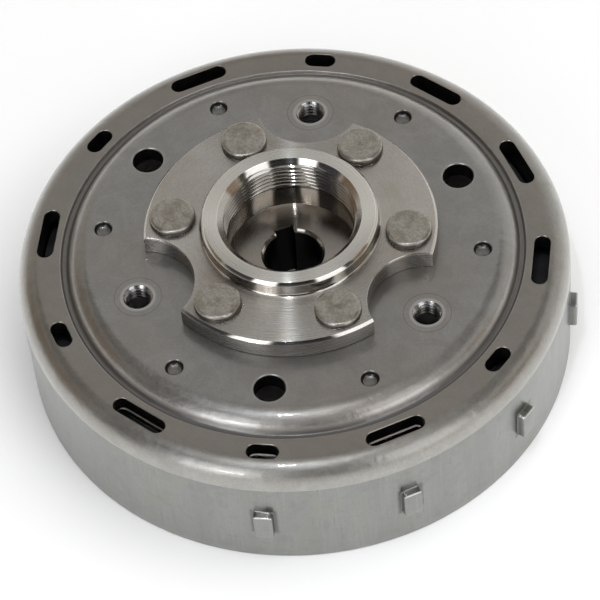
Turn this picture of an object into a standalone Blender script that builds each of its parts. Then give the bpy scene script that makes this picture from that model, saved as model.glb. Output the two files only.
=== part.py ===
"""Flywheel rotor of a small engine.

A drawn steel cup is riveted to a machined hub, and holds a ring of arc magnets
against its inner wall. Z = 0 is the cup's open edge, +Z points to its closed
side, and the Z axis is the axis of rotation. The first tapped hole is at +Y.
"""
import math

import bmesh
import bpy
from mathutils import Matrix, Vector

MM = 0.001                  # every size below is in millimetres
STEPS = 60                  # facets round a large turned piece
STEPS_SMALL = 20            # facets round a rivet or a bolt hole
GAP = 0.25                  # room between pieces that touch

# Cup: a flat crown ring with the slots, and a raised disc inside it
CUP_R = 78.2
CUP_WALL = 5.5
CROWN_Z = 39.0
CROWN_T = 5.0
CROWN_CORNER_R = 6.8
DISC_Z = 42.6
DISC_FLAT_R = 57.0
DISC_ROLL_R = 7.4
DISC_ROLL_ANGLE = 62.0
DISC_FOOT_R = 65.8
CUP_PILOT_R = 22.3
EDGE_BREAK = 0.6

# Holes in the crown and the disc
SLOT_PCD_R = 70.0
SLOT_W = 5.2
SLOT_LONG = 17.6
SLOT_SHORT = 9.5
LONG_SLOT_ANGLES = (0, 30, 60, 120, 180, 240, 300)
SHORT_SLOT_ANGLES = (90, 150, 210, 270, 330)
CLEARANCE_HOLE_R = 4.6
CLEARANCE_PCD_R = 51.6
CLEARANCE_ANGLES = (30, 150, 270)
TAPPED_HOLE_R = 3.4         # M8 core
TAPPED_MOUTH_R = 4.2
TAPPED_PCD_R = 46.6
TAPPED_ANGLES = (90, 210, 330)
DIMPLE_R = 2.7
DIMPLE_DEPTH = 1.8
DIMPLE_PCD_R = 53.75

# Trigger pads, pressed out of the wall from inside
PAD_ANGLES = (270, 300, 330, 0, 30, 60, 90, 120, 150)
PAD_W = 5.3
PAD_TOP_Z = 21.8
PAD_H = 9.5
PAD_PROUD = 2.1

# Hub: a scalloped flange, a boss with a puller thread, and a nose with the taper
BOSS_Z = 53.6
BOSS_R = 24.8
BOSS_CHAMFER = 0.9
BOSS_FILLET = 1.0
FLANGE_Z = 48.8
FLANGE_R = 41.2
FLANGE_CHAMFER = 0.7
SCALLOP_R = 15.6
SCALLOP_PCD_R = 45.6
RECESS_R = 18.2             # core of the M38 x 1.5 puller thread
RECESS_MOUTH_R = 20.3
RECESS_FLOOR_Z = 36.0
SPIGOT_R = 22.0
SPIGOT_Z = 32.4
NOSE_R = 17.5
NOSE_Z = 12.0
TAPER_R = 7.9               # at the nut side
TAPER_RATIO = 0.1           # radius gained per unit of depth, a 1:5 taper
TAPER_CHAMFER = 1.1
KEY_W = 5.4
KEY_DEPTH = 2.15
KEY_ANGLE = 113.2

# Rivets
RIVET_COUNT = 6
RIVET_PCD_R = 33.3
RIVET_HEAD_R = 6.6
RIVET_HEAD_H = 2.1
RIVET_EDGE_R = 0.8
RIVET_SHANK_R = 4.0
RIVET_TAIL_R = 6.3
RIVET_TAIL_H = 2.0

# Magnets and what holds them
MAGNET_COUNT = 12
MAGNET_OUT_R = 72.4
MAGNET_IN_R = 66.0
MAGNET_ANGLE = 26.4
MAGNET_Z = (4.6, 27.0)
CAGE_Z = (2.1, 28.9)
CAGE_BAR_ANGLE = 3.0
SLEEVE_T = 0.6
SLEEVE_Z = (1.2, 29.8)


def new_collection(name):
    """A collection of its own for the parts or for the cutters."""
    collection = bpy.data.collections.new(name)
    bpy.context.scene.collection.children.link(collection)
    return collection


def material(name, colour, roughness, metallic):
    """A Principled material from its three main values."""
    mat = bpy.data.materials.new(name)
    mat.use_nodes = True
    shader = mat.node_tree.nodes["Principled BSDF"]
    shader.inputs["Base Color"].default_value = (*colour, 1.0)
    shader.inputs["Roughness"].default_value = roughness
    shader.inputs["Metallic"].default_value = metallic
    return mat


def add_object(name, mesh, collection, mat=None):
    obj = bpy.data.objects.new(name, mesh)
    collection.objects.link(obj)
    if mat:
        mesh.materials.append(mat)
    return obj


def mark_cutter(obj):
    obj.hide_render = True
    obj.display_type = "WIRE"
    return obj


def polar(radius, degrees, z=0.0):
    """A point in metres from a radius, an angle and a height in millimetres."""
    a = math.radians(degrees)
    return Vector((radius * math.cos(a), radius * math.sin(a), z)) * MM


def arc(cx, cz, radius, start, end, count):
    """Points along an arc of a profile, both ends included; angles in degrees."""
    angles = [math.radians(start + (end - start) * i / (count - 1)) for i in range(count)]
    return [(cx + radius * math.cos(a), cz + radius * math.sin(a)) for a in angles]


def turned(name, profile, collection, mat=None, steps=STEPS, closed=True):
    """Spin a profile, given as (radius, height) down its outer side, about Z."""
    mesh = bpy.data.meshes.new(name)
    verts = [(r * MM, 0.0, z * MM) for r, z in profile]
    edges = [(i, i + 1) for i in range(len(verts) - 1)]
    if closed:
        edges.append((len(verts) - 1, 0))
    mesh.from_pydata(verts, edges, [])
    obj = add_object(name, mesh, collection, mat)
    screw = obj.modifiers.new("Turn", "SCREW")
    screw.axis = "Z"
    screw.angle = 2.0 * math.pi
    screw.steps = steps
    screw.render_steps = steps
    screw.use_merge_vertices = True
    screw.merge_threshold = 0.00001
    return obj


def cut(obj, cutter, operation="DIFFERENCE"):
    boolean = obj.modifiers.new(cutter.name, "BOOLEAN")
    boolean.operation = operation
    boolean.solver = "EXACT"
    boolean.object = cutter


def add_prism(bm, outline, z0, z1, place):
    """A flat outline in millimetres, raised from z0 to z1 and moved by a matrix."""
    verts = [bm.verts.new((x * MM, y * MM, z0 * MM)) for x, y in outline]
    face = bm.faces.new(verts)
    raised = bmesh.ops.extrude_face_region(bm, geom=[face])["geom"]
    top = [v for v in raised if isinstance(v, bmesh.types.BMVert)]
    bmesh.ops.translate(bm, vec=(0.0, 0.0, (z1 - z0) * MM), verts=top)
    bmesh.ops.transform(bm, matrix=place, verts=verts + top)


def cutter_from(bm, name, collection):
    """Close a bmesh of one or more prisms into a cutter object."""
    bmesh.ops.recalc_face_normals(bm, faces=bm.faces)
    mesh = bpy.data.meshes.new(name)
    bm.to_mesh(mesh)
    bm.free()
    return mark_cutter(add_object(name, mesh, collection))


def turn_to(degrees, radius=0.0):
    """Rotation to an angle round Z, then out along that direction."""
    rotation = Matrix.Rotation(math.radians(degrees), 4, "Z")
    return rotation @ Matrix.Translation((radius * MM, 0.0, 0.0))


def circle(radius, count):
    step = 2.0 * math.pi / count
    return [(radius * math.cos(i * step), radius * math.sin(i * step)) for i in range(count)]


def capsule(length, width, cap_points=6):
    """Outline of a round-ended slot whose length lies along Y."""
    half = length / 2.0 - width / 2.0
    top = arc(0.0, half, width / 2.0, 0.0, 180.0, cap_points)
    bottom = arc(0.0, -half, width / 2.0, 180.0, 360.0, cap_points)
    return top + bottom


def rectangle(x0, x1, width):
    return [(x0, -width / 2.0), (x1, -width / 2.0), (x1, width / 2.0), (x0, width / 2.0)]


def round_cutters(name, radius, pcd_r, angles, z0, z1, collection, count=STEPS_SMALL):
    bm = bmesh.new()
    for angle in angles:
        add_prism(bm, circle(radius, count), z0, z1, turn_to(angle, pcd_r))
    return cutter_from(bm, name, collection)


def turned_cutters(name, profile, pcd_r, angles, collection, steps=STEPS_SMALL):
    """One turned cutter for each angle, all on the same pitch circle."""
    first = turned(name, profile, collection, steps=steps)
    first.location = polar(pcd_r, angles[0])
    cutters = [mark_cutter(first)]
    for angle in angles[1:]:
        copy = first.copy()
        copy.location = polar(pcd_r, angle)
        collection.objects.link(copy)
        cutters.append(copy)
    return cutters


def cup_profile():
    roll_z = DISC_Z - DISC_ROLL_R
    crown_r = CUP_R - CROWN_CORNER_R
    inner_r = CUP_R - CUP_WALL
    inner_corner = 2.5
    under_crown = CROWN_Z - CROWN_T
    under_disc = DISC_Z - CROWN_T
    profile = [(CUP_PILOT_R, DISC_Z)]
    profile += arc(DISC_FLAT_R, roll_z, DISC_ROLL_R, 90.0, 90.0 - DISC_ROLL_ANGLE, 5)
    profile += [(DISC_FOOT_R - 1.2, CROWN_Z - 0.45), (DISC_FOOT_R, CROWN_Z)]
    profile += arc(crown_r, CROWN_Z - CROWN_CORNER_R, CROWN_CORNER_R, 90.0, 0.0, 6)
    profile += [(CUP_R, EDGE_BREAK), (CUP_R - EDGE_BREAK, 0.0)]
    profile += [(inner_r + EDGE_BREAK, 0.0), (inner_r, EDGE_BREAK)]
    profile += arc(inner_r - inner_corner, under_crown - inner_corner, inner_corner, 0.0, 90.0, 3)
    profile += [(DISC_FOOT_R - 4.0, under_crown), (DISC_FOOT_R - 7.4, under_disc)]
    profile += [(CUP_PILOT_R, under_disc)]
    return profile


def build_cup(parts, cutters, mat):
    cup = turned("rotor_shell", cup_profile(), parts, mat)
    below = DISC_Z - CROWN_T - 2.0
    above = DISC_Z + 2.0

    bm = bmesh.new()
    for angle in PAD_ANGLES:
        outline = rectangle(CUP_R - 1.5, CUP_R + PAD_PROUD, PAD_W)
        add_prism(bm, outline, PAD_TOP_Z - PAD_H, PAD_TOP_Z, turn_to(angle))
    cut(cup, cutter_from(bm, "pad_stock", cutters), "UNION")

    bm = bmesh.new()
    pocket_in = CUP_R - CUP_WALL - 1.5
    for angle in PAD_ANGLES:
        outline = rectangle(pocket_in, CUP_R - CUP_WALL + PAD_PROUD, PAD_W)
        add_prism(bm, outline, PAD_TOP_Z - PAD_H, PAD_TOP_Z, turn_to(angle))
    cut(cup, cutter_from(bm, "pad_pockets", cutters))

    bm = bmesh.new()
    for angles, length in ((LONG_SLOT_ANGLES, SLOT_LONG), (SHORT_SLOT_ANGLES, SLOT_SHORT)):
        for angle in angles:
            place = turn_to(angle, SLOT_PCD_R)
            add_prism(bm, capsule(length, SLOT_W), CROWN_Z - CROWN_T - 4.0, CROWN_Z + 2.0, place)
    cut(cup, cutter_from(bm, "crown_slots", cutters))

    clearance = round_cutters("clearance_holes", CLEARANCE_HOLE_R, CLEARANCE_PCD_R,
                              CLEARANCE_ANGLES, below, above, cutters)
    cut(cup, clearance)
    rivet_angles = [i * 360.0 / RIVET_COUNT for i in range(RIVET_COUNT)]
    rivet_holes = round_cutters("disc_rivet_holes", RIVET_SHANK_R + GAP + 0.05, RIVET_PCD_R,
                                rivet_angles, below, above, cutters, 16)
    cut(cup, rivet_holes)

    mouth = TAPPED_MOUTH_R - TAPPED_HOLE_R
    tapped = [(0.0, above), (TAPPED_MOUTH_R, above), (TAPPED_MOUTH_R, DISC_Z)]
    tapped += [(TAPPED_HOLE_R, DISC_Z - mouth), (TAPPED_HOLE_R, below), (0.0, below)]
    for cutter in turned_cutters("tapped_hole", tapped, TAPPED_PCD_R, TAPPED_ANGLES, cutters):
        cut(cup, cutter)

    dimple = [(0.0, above), (DIMPLE_R, above), (DIMPLE_R, DISC_Z - DIMPLE_DEPTH * 0.6)]
    dimple += [(DIMPLE_R * 0.75, DISC_Z - DIMPLE_DEPTH * 0.9), (0.0, DISC_Z - DIMPLE_DEPTH)]
    for cutter in turned_cutters("dimple", dimple, DIMPLE_PCD_R, rivet_angles, cutters, 16):
        cut(cup, cutter)
    return cup


def hub_profile():
    flange_bottom = DISC_Z + GAP
    taper_top = RECESS_FLOOR_Z - TAPER_CHAMFER
    taper_end_r = TAPER_R + (taper_top - NOSE_Z) * TAPER_RATIO
    spigot_chamfer = 0.8
    mouth = RECESS_MOUTH_R - RECESS_R
    profile = [(RECESS_MOUTH_R, BOSS_Z), (BOSS_R - BOSS_CHAMFER, BOSS_Z)]
    profile += [(BOSS_R, BOSS_Z - BOSS_CHAMFER)]
    profile += arc(BOSS_R + BOSS_FILLET, FLANGE_Z + BOSS_FILLET, BOSS_FILLET, 180.0, 270.0, 3)
    profile += [(FLANGE_R - FLANGE_CHAMFER, FLANGE_Z), (FLANGE_R, FLANGE_Z - FLANGE_CHAMFER)]
    profile += [(FLANGE_R, flange_bottom), (SPIGOT_R, flange_bottom)]
    profile += [(SPIGOT_R, SPIGOT_Z + spigot_chamfer), (SPIGOT_R - spigot_chamfer, SPIGOT_Z)]
    profile += arc(NOSE_R + 1.0, SPIGOT_Z - 1.0, 1.0, 90.0, 180.0, 3)
    profile += [(NOSE_R, NOSE_Z + 0.8), (NOSE_R - 0.8, NOSE_Z)]
    profile += [(taper_end_r + 0.6, NOSE_Z), (taper_end_r - 0.06, NOSE_Z + 0.6)]
    profile += [(TAPER_R, taper_top), (TAPER_R + TAPER_CHAMFER, RECESS_FLOOR_Z)]
    profile += [(RECESS_R, RECESS_FLOOR_Z), (RECESS_R, BOSS_Z - mouth)]
    return profile


def build_hub(parts, cutters, mat):
    hub = turned("hub", hub_profile(), parts, mat)
    flange_bottom = DISC_Z + GAP
    scallops = round_cutters("flange_scallops", SCALLOP_R, SCALLOP_PCD_R, TAPPED_ANGLES,
                             flange_bottom - 2.0, FLANGE_Z + 2.0, cutters, STEPS)
    cut(hub, scallops)
    rivet_angles = [i * 360.0 / RIVET_COUNT for i in range(RIVET_COUNT)]
    holes = round_cutters("flange_rivet_holes", RIVET_SHANK_R + GAP + 0.05, RIVET_PCD_R,
                          rivet_angles, flange_bottom - 2.0, FLANGE_Z + 2.0, cutters, 16)
    cut(hub, holes)

    # The keyway runs parallel to the taper's surface, so its cutter leans with it
    length = RECESS_FLOOR_Z - NOSE_Z + 6.0
    taper_top = RECESS_FLOOR_Z - TAPER_CHAMFER
    lean = Matrix.Rotation(-math.atan(TAPER_RATIO), 4, "Y")
    foot = Matrix.Translation(Vector((TAPER_R + KEY_DEPTH, 0.0, taper_top)) * MM)
    bm = bmesh.new()
    place = Matrix.Rotation(math.radians(KEY_ANGLE), 4, "Z") @ foot @ lean
    add_prism(bm, rectangle(-6.0, 0.0, KEY_W), 3.0 - length, 3.0, place)
    cut(hub, cutter_from(bm, "keyway", cutters))
    return hub


def rivet_profile():
    head_bottom = FLANGE_Z + GAP
    head_top = FLANGE_Z + RIVET_HEAD_H
    tail_top = DISC_Z - CROWN_T - GAP
    tail_bottom = tail_top - RIVET_TAIL_H
    edge = RIVET_HEAD_R - RIVET_EDGE_R
    profile = [(0.0, head_top)]
    profile += arc(edge, head_top - RIVET_EDGE_R, RIVET_EDGE_R, 90.0, 0.0, 3)
    profile += [(RIVET_HEAD_R, head_bottom), (RIVET_SHANK_R, head_bottom)]
    profile += [(RIVET_SHANK_R, tail_top), (RIVET_TAIL_R, tail_top)]
    profile += [(RIVET_TAIL_R, tail_top - 0.8), (RIVET_TAIL_R - 1.4, tail_bottom)]
    profile += [(0.0, tail_bottom)]
    return profile


def build_rivets(parts, mat):
    first = turned("rivet_1", rivet_profile(), parts, mat, STEPS_SMALL, closed=False)
    for i in range(RIVET_COUNT):
        rivet = first
        if i:
            rivet = first.copy()
            rivet.name = f"rivet_{i + 1}"
            parts.objects.link(rivet)
        rivet.location = polar(RIVET_PCD_R, i * 360.0 / RIVET_COUNT)


def spun_block(bm, radii, heights, degrees, steps):
    """A rectangular section spun about Z through an angle centred on +X."""
    start = Matrix.Rotation(math.radians(-degrees / 2.0), 4, "Z")
    corners = [(radii[0], heights[0]), (radii[1], heights[0]),
               (radii[1], heights[1]), (radii[0], heights[1])]
    verts = [bm.verts.new(start @ (Vector((r, 0.0, z)) * MM)) for r, z in corners]
    face = bm.faces.new(verts)
    bmesh.ops.spin(bm, geom=[face], cent=(0.0, 0.0, 0.0), axis=(0.0, 0.0, 1.0),
                   angle=math.radians(degrees), steps=steps)


def build_magnets(parts, mat):
    bm = bmesh.new()
    spun_block(bm, (MAGNET_IN_R, MAGNET_OUT_R), MAGNET_Z, MAGNET_ANGLE, 6)
    bmesh.ops.recalc_face_normals(bm, faces=bm.faces)
    mesh = bpy.data.meshes.new("magnet")
    bm.to_mesh(mesh)
    bm.free()
    mesh.materials.append(mat)
    for i in range(MAGNET_COUNT):
        magnet = bpy.data.objects.new(f"magnet_{i + 1}", mesh)
        magnet.rotation_euler.z = math.radians((i + 0.5) * 360.0 / MAGNET_COUNT)
        parts.objects.link(magnet)


def build_cage(parts, cutters, mat):
    """One moulded ring with a window for each magnet."""
    profile = [(MAGNET_IN_R, CAGE_Z[1]), (MAGNET_OUT_R, CAGE_Z[1])]
    profile += [(MAGNET_OUT_R, CAGE_Z[0]), (MAGNET_IN_R, CAGE_Z[0])]
    cage = turned("magnet_cage", profile, parts, mat)
    window = 360.0 / MAGNET_COUNT - CAGE_BAR_ANGLE
    heights = (MAGNET_Z[0] - GAP, MAGNET_Z[1] + GAP)
    bm = bmesh.new()
    for i in range(MAGNET_COUNT):
        done = set(bm.verts)
        spun_block(bm, (MAGNET_IN_R - 2.0, MAGNET_OUT_R + 2.0), heights, window, 6)
        fresh = [v for v in bm.verts if v not in done]
        bmesh.ops.transform(bm, matrix=turn_to((i + 0.5) * 360.0 / MAGNET_COUNT), verts=fresh)
    cut(cage, cutter_from(bm, "cage_windows", cutters))
    return cage


def build_sleeve(parts, mat):
    """Thin stainless cover inside the magnets, lipped outwards at both ends."""
    outer = MAGNET_IN_R - GAP
    inner = outer - SLEEVE_T
    low, high = SLEEVE_Z
    profile = [(inner, high), (outer + 1.4, high), (outer + 1.4, high - SLEEVE_T)]
    profile += [(outer, high - SLEEVE_T), (outer, low + SLEEVE_T)]
    profile += [(MAGNET_OUT_R, low + SLEEVE_T), (MAGNET_OUT_R, low), (inner, low)]
    return turned("magnet_sleeve", profile, parts, mat)


def freeze(obj):
    """Swap an object's modifiers for their result and set its shading."""
    depsgraph = bpy.context.evaluated_depsgraph_get()
    mesh = bpy.data.meshes.new_from_object(obj.evaluated_get(depsgraph))
    mesh.name = obj.name
    obj.modifiers.clear()
    obj.data = mesh
    mesh.shade_smooth()
    mesh.set_sharp_from_angle(angle=math.radians(32.0))


def main():
    for obj in list(bpy.data.objects):
        bpy.data.objects.remove(obj, do_unlink=True)
    parts = new_collection("flywheel")
    cutters = new_collection("flywheel_cutters")

    drawn_steel = material("drawn_steel", (0.36, 0.35, 0.33), 0.38, 1.0)
    turned_steel = material("turned_steel", (0.50, 0.47, 0.43), 0.25, 1.0)
    rivet_steel = material("rivet_steel", (0.33, 0.32, 0.30), 0.45, 1.0)
    ferrite = material("magnet_ferrite", (0.05, 0.05, 0.055), 0.55, 0.2)
    nylon = material("black_nylon", (0.02, 0.02, 0.02), 0.5, 0.0)
    stainless = material("stainless", (0.55, 0.54, 0.52), 0.3, 1.0)

    build_cup(parts, cutters, drawn_steel)
    build_hub(parts, cutters, turned_steel)
    build_rivets(parts, rivet_steel)
    build_magnets(parts, ferrite)
    build_cage(parts, cutters, nylon)
    build_sleeve(parts, stainless)
    bpy.context.view_layer.update()
    for obj in parts.objects:
        freeze(obj)


main()
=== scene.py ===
"""Looks of the flywheel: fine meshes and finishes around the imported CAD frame.

Lengths in this file are millimetres unless a name says otherwise, heights are
from the cup's open edge, and the axis of rotation is the Z axis. Heights and
radii that the CAD model sets are read back from the frame's boxes.
"""
import math

import bmesh
import bpy
import numpy as np
from mathutils import Matrix, Vector


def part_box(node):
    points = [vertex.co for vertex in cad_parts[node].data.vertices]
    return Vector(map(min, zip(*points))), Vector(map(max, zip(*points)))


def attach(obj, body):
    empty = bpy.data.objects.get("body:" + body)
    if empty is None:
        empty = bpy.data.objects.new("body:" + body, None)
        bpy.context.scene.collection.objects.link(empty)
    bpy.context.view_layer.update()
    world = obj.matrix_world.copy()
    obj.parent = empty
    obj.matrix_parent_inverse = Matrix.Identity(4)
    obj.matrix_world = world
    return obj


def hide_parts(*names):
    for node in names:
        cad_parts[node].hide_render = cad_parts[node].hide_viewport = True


MM = 0.001
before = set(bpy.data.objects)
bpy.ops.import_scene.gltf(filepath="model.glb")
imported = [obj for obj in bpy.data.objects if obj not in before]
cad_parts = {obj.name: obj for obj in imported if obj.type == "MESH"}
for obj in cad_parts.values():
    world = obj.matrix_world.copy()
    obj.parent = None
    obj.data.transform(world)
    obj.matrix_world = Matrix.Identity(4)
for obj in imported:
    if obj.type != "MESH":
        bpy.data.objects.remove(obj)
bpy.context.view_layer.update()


def mm_box(node):
    """A CAD node's lowest and highest corners in millimetres."""
    low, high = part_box(node)
    return Vector(low) / MM, Vector(high) / MM


# ---- sizes read from the frame -------------------------------------------------
cup_low, cup_high = mm_box("rotor_shell")
hub_low, hub_high = mm_box("hub")
rivet_low, rivet_high = mm_box("rivet_1")
magnet_low, magnet_high = mm_box("magnet_1")
cage_low, cage_high = mm_box("magnet_cage")
sleeve_low, sleeve_high = mm_box("magnet_sleeve")

CUP_R = -cup_low.x
PAD_PROUD = cup_high.x - CUP_R
DISC_Z = cup_high.z
BOSS_Z = hub_high.z
NOSE_Z = hub_low.z
RIVET_TOP = rivet_high.z
RIVET_TAIL_Z = rivet_low.z
RIVET_R = (rivet_high.x - rivet_low.x) / 2.0
RIVET_PCD_R = (rivet_high.x + rivet_low.x) / 2.0
MAGNET_Z = (magnet_low.z, magnet_high.z)
MAGNET_OUT_R = cage_high.x
CAGE_Z = (cage_low.z, cage_high.z)
SLEEVE_Z = (sleeve_low.z, sleeve_high.z)

# ---- driving dimensions that the boxes don't give ------------------------------
STEPS = 240                 # columns round a large turned piece
CROWN_Z = DISC_Z - 3.6
SHELL_T = 5.0
WALL_T = 5.5
CROWN_CORNER_R = 6.8
DISC_FLAT_R = 57.0
DISC_ROLL_R = 7.4
DISC_FOOT_R = 65.8
PILOT_R = 22.2

SLOT_PCD_R = 70.0
SLOT_W = 5.2
SLOT_LONG = 17.6
SLOT_SHORT = 9.5
LONG_SLOTS = (0, 30, 60, 120, 180, 240, 300)
SHORT_SLOTS = (90, 150, 210, 270, 330)
CLEARANCE_R = 4.6
CLEARANCE_PCD_R = 51.6
CLEARANCE_ANGLES = (30, 150, 270)
TAPPED_PCD_R = 46.6
TAPPED_ANGLES = (90, 210, 330)
TAP_MINOR_R = 3.4
TAP_MAJOR_R = 4.0
TAP_PITCH = 1.25
TAP_MOUTH_R = 4.2
WITNESS_R = 6.6             # pressed ring round each tapped hole, in the finish only
DIMPLE_R = 2.7
DIMPLE_BOWL = ((1.80, 0.4), (1.76, 1.1), (1.62, 1.7), (1.38, 2.1), (1.05, 2.32), (0.5, 2.42))
DIMPLE_PCD_R = 53.75
SIXTHS = (0, 60, 120, 180, 240, 300)

PAD_ANGLES = (270, 300, 330, 0, 30, 60, 90, 120, 150)
PAD_STEP = 30.0
PAD_W = 5.3
PAD_H = 9.5
PAD_TOP_Z = 21.8

FLANGE_Z = 48.8
FLANGE_R = 41.2
BOSS_R = 24.8
SCALLOP_R = 15.6
SCALLOP_PCD_R = 45.6
RECESS_R = 18.2
RECESS_MOUTH_R = 20.3
RECESS_FLOOR_Z = 36.0
PULLER_MAJOR_R = 19.0
PULLER_PITCH = 1.5
THREAD_LOW_Z = 43.4
SPIGOT_R = 22.0
SPIGOT_Z = 32.4
NOSE_R = 17.5
TAPER_R = 7.9
TAPER_RATIO = 0.1
KEY_W = 5.4
KEY_DEPTH = 2.15
KEY_ANGLE = 113.2
BORE_SHADE_R = 13.0              # the bore and its keyway are painted dark as shade inside this

SLOT_SHY = 0.12             # the slots' visible edge lies this far inside their size
SLOT_BURR = 0.40            # ledge left by the punch on the inner side of BURRED_SLOTS
BURRED_SLOTS = (240, 270, 300)
LIP_SWEEP = 70.0            # degrees of a rounded hole edge, short of a feather edge

MAGNET_IN_R = 66.0
MAGNET_COUNT = 12
MAGNET_ANGLE = 26.4


# ---- mesh helpers ----------------------------------------------------------------
def rounded(corners, closed=True):
    """A profile from (radius, height, fillet radius, points) corners."""
    path = []
    count = len(corners)
    for i, (x, z, fillet, points) in enumerate(corners):
        here = Vector((x, z))
        if fillet <= 0.0 or (not closed and i in (0, count - 1)):
            path.append((x, z))
            continue
        before = (Vector(corners[i - 1][:2]) - here).normalized()
        after = (Vector(corners[(i + 1) % count][:2]) - here).normalized()
        half = before.angle(after) / 2.0
        reach = fillet / math.tan(half)
        centre = here + (before + after).normalized() * fillet / math.sin(half)
        start = here + before * reach - centre
        end = here + after * reach - centre
        sweep = start.angle_signed(end)
        for k in range(points):
            a = -sweep * k / (points - 1)
            c, s = math.cos(a), math.sin(a)
            path.append((centre.x + start.x * c - start.y * s,
                         centre.y + start.x * s + start.y * c))
    return path


def arc(cx, cz, radius, start, end, count):
    angles = np.radians(np.linspace(start, end, count))
    return [(cx + radius * math.cos(a), cz + radius * math.sin(a)) for a in angles]


def polar_angles(count):
    return np.arange(count) * 2.0 * math.pi / count


def grid_faces(rings, columns, loop_rings):
    """Quads between rings of equal point count that close round the axis."""
    faces = []
    last = rings if loop_rings else rings - 1
    for j in range(last):
        lower = (j + 1) % rings
        for i in range(columns):
            k = (i + 1) % columns
            faces.append((j * columns + i, lower * columns + i,
                          lower * columns + k, j * columns + k))
    return faces


def mesh_from(name, verts, faces):
    mesh = bpy.data.meshes.new(name)
    mesh.from_pydata([tuple(v) for v in verts], [], faces)
    mesh.update()
    return mesh


def thread_wave(phase):
    """Depth of a 60 degree thread over one pitch: 0 at the crest, 1 at the root."""
    phase = np.mod(phase, 1.0)
    rise = np.clip((phase - 0.10) / 0.33, 0.0, 1.0)
    fall = np.clip((0.90 - phase) / 0.33, 0.0, 1.0)
    return np.minimum(rise, fall)


def lathe(name, profile, steps=STEPS, closed=True, depth=None):
    """Spin a profile about Z. depth(angle, radius, z) may add to the radius."""
    angles = polar_angles(steps)
    rings = []
    for r, z in profile:
        radius = np.full(steps, r)
        if depth is not None:
            radius = radius + depth(angles, r, z)
        rings.append(np.stack([radius * np.cos(angles), radius * np.sin(angles),
                               np.full(steps, z)], axis=-1))
    verts = np.concatenate(rings) * MM
    mesh = mesh_from(name, verts, grid_faces(len(profile), steps, closed))
    if not closed:
        bm = bmesh.new()
        bm.from_mesh(mesh)
        bmesh.ops.remove_doubles(bm, verts=bm.verts, dist=1e-7)
        bm.to_mesh(mesh)
        bm.free()
    return mesh


def capsule_outline(length, width, offset, cap=13):
    """Round-ended slot along Y, grown outwards by an offset."""
    half = (length - width) / 2.0
    radius = width / 2.0 + offset
    points = arc(0.0, half, radius, 0.0, 180.0, cap) + arc(0.0, -half, radius, 180.0, 360.0, cap)
    return np.array(points)


def circle_outline(radius, offset, count=48):
    a = polar_angles(count)
    return np.stack([np.cos(a), np.sin(a)], axis=-1) * (radius + offset)


def box_outline(width, height, corner, offset, points=5):
    """Rounded rectangle grown outwards by an offset, as X and Y."""
    x, y = width / 2.0 - corner, height / 2.0 - corner
    radius = max(corner + offset, 0.02)
    outline = []
    for sx, sy, start in ((1, 1, 0.0), (-1, 1, 90.0), (-1, -1, 180.0), (1, -1, 270.0)):
        outline += arc(sx * x, sy * y, radius, start, start + 90.0, points)
    return np.array(outline)


def loft(outline, levels, shift=(0.0, 0.0)):
    """Vertices and faces of a closed body; outline(offset) at each (z, offset).

    shift moves the outline along X at every level below a height: (height, move).
    """
    rings = []
    for z, offset in levels:
        flat = outline(offset)
        flat = flat + np.array([shift[1] if z < shift[0] else 0.0, 0.0])
        rings.append(np.column_stack([flat, np.full(len(flat), z)]))
    columns = len(rings[0])
    verts = np.concatenate(rings)
    faces = []
    for j in range(len(rings) - 1):
        for i in range(columns):
            k = (i + 1) % columns
            faces.append((j * columns + i, j * columns + k,
                          (j + 1) * columns + k, (j + 1) * columns + i))
    faces.append(tuple(reversed(range(columns))))
    top = (len(rings) - 1) * columns
    faces.append(tuple(range(top, top + columns)))
    return verts, faces


class Body:
    """Collects closed bodies, each moved by its own matrix, into one mesh."""

    def __init__(self):
        self.verts, self.faces = [], []

    def add(self, verts, faces, place=None):
        base = len(self.verts)
        for v in verts:
            point = Vector((float(v[0]), float(v[1]), float(v[2]))) * MM
            self.verts.append(place @ point if place else point)
        self.faces += [tuple(base + i for i in face) for face in faces]

    def mesh(self, name):
        mesh = mesh_from(name, self.verts, self.faces)
        bm = bmesh.new()
        bm.from_mesh(mesh)
        bmesh.ops.recalc_face_normals(bm, faces=bm.faces)
        bm.to_mesh(mesh)
        bm.free()
        return mesh


def out_at(degrees, radius=0.0, z=0.0):
    """Placement turned to an angle about Z and moved out along it."""
    turn = Matrix.Rotation(math.radians(degrees), 4, "Z")
    return turn @ Matrix.Translation(Vector((radius, 0.0, z)) * MM)


def new_object(name, mesh, collection=None):
    obj = bpy.data.objects.new(name, mesh)
    (collection or bpy.context.scene.collection).objects.link(obj)
    return obj


def boolean(obj, cutter_mesh, operation):
    """Apply one boolean to an object's mesh and remove the cutter."""
    cutter = new_object("cutter", cutter_mesh)
    modifier = obj.modifiers.new("cut", "BOOLEAN")
    modifier.operation = operation
    modifier.solver = "EXACT"
    modifier.object = cutter
    depsgraph = bpy.context.evaluated_depsgraph_get()
    depsgraph.update()
    result = bpy.data.meshes.new_from_object(obj.evaluated_get(depsgraph))
    obj.modifiers.clear()
    obj.data = result
    bpy.data.objects.remove(cutter, do_unlink=True)


def lip(surface_z, radius, points=4):
    """(height, offset) levels of a rounded hole edge that ends at the nominal size."""
    levels = []
    for a in np.radians(np.linspace(0.0, LIP_SWEEP, points)):
        levels.append((surface_z + radius * (math.sin(a) - 1.0),
                       radius * (math.cos(math.radians(LIP_SWEEP)) - math.cos(a))))
    return levels


def shade(obj, angle=35.0):
    obj.data.shade_smooth()
    obj.data.set_sharp_from_angle(angle=math.radians(angle))


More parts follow.
